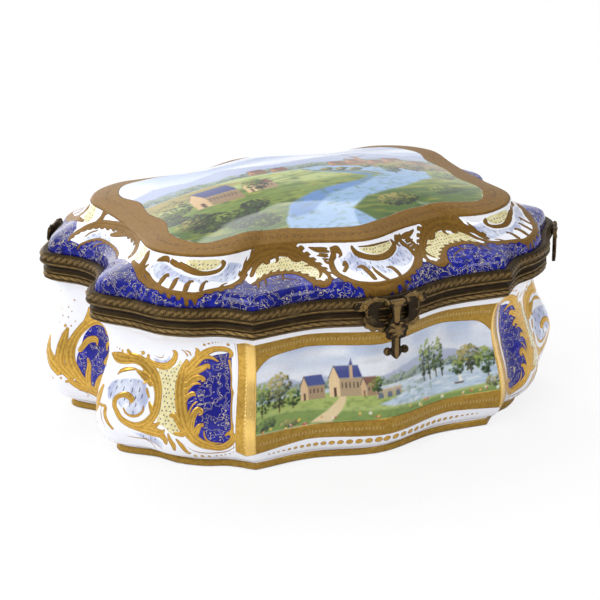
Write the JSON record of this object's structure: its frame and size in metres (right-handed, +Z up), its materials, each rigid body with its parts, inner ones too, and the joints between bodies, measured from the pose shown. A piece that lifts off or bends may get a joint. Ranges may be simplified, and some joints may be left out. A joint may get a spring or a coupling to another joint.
{
  "type": "keepsake casket",
  "caption": "Shaped porcelain casket with a domed hinged lid, cast gilt metal collars, openwork flank mounts and a drop clasp with a trefoil thumb piece",
  "frame": {"origin": "on the table under the middle of the closed box, hinge and clasp included", "axes": "X along the length, Y from the clasp at the front to the hinge at the back, Z up"},
  "size_m": [0.3408, 0.2852, 0.1565],
  "materials": {
    "body_porcelain": "white porcelain under a clear gloss glaze, painted in cobalt, pale yellow and gold",
    "lid_porcelain": "porcelain under a clear gloss glaze, cobalt border, gilt scrollwork and a painted landscape",
    "collar_metal": "aged gilt cast metal, chased with a rope pattern, dark in the hollows",
    "ornament_metal": "aged gilt cast metal, chased leaves, bright on the high points",
    "pin_metal": "drawn wire, dull polish"
  },
  "bodies": {
    "base": {"porcelain_body": "body_porcelain", "base_collar": "collar_metal", "hinge_base_leaf": "collar_metal", "hinge_pin": "pin_metal", "hinge_base_rivet_1": "pin_metal", "hinge_base_rivet_2": "pin_metal", "hinge_base_rivet_3": "pin_metal", "catch_stud": "pin_metal"},
    "lid": {"porcelain_lid": "lid_porcelain", "lid_collar": "collar_metal", "hinge_lid_leaf": "collar_metal", "hinge_lid_rivet_1": "pin_metal", "hinge_lid_rivet_2": "pin_metal", "hinge_lid_rivet_3": "pin_metal", "clasp_escutcheon": "ornament_metal", "clasp_pin": "pin_metal", "clasp_rivet_left": "pin_metal", "clasp_rivet_right": "pin_metal", "flank_escutcheon_right": "ornament_metal", "flank_escutcheon_left": "ornament_metal", "flank_rivet_right_a": "pin_metal", "flank_rivet_right_b": "pin_metal", "flank_rivet_left_a": "pin_metal", "flank_rivet_left_b": "pin_metal"},
    "hasp": {"clasp_hasp": "ornament_metal"}
  },
  "joints": [
    {"name": "lid_hinge", "type": "hinge", "parent": "base", "child": "lid", "pos_m": [0, 0.13972, 0.1035], "axis": [-1, 0, 0], "range_deg": [0, 105]},
    {"name": "hasp_pivot", "type": "hinge", "parent": "lid", "child": "hasp", "pos_m": [0, -0.13992, 0.1114], "axis": [-1, 0, 0], "range_deg": [0, 100]}
  ]
}
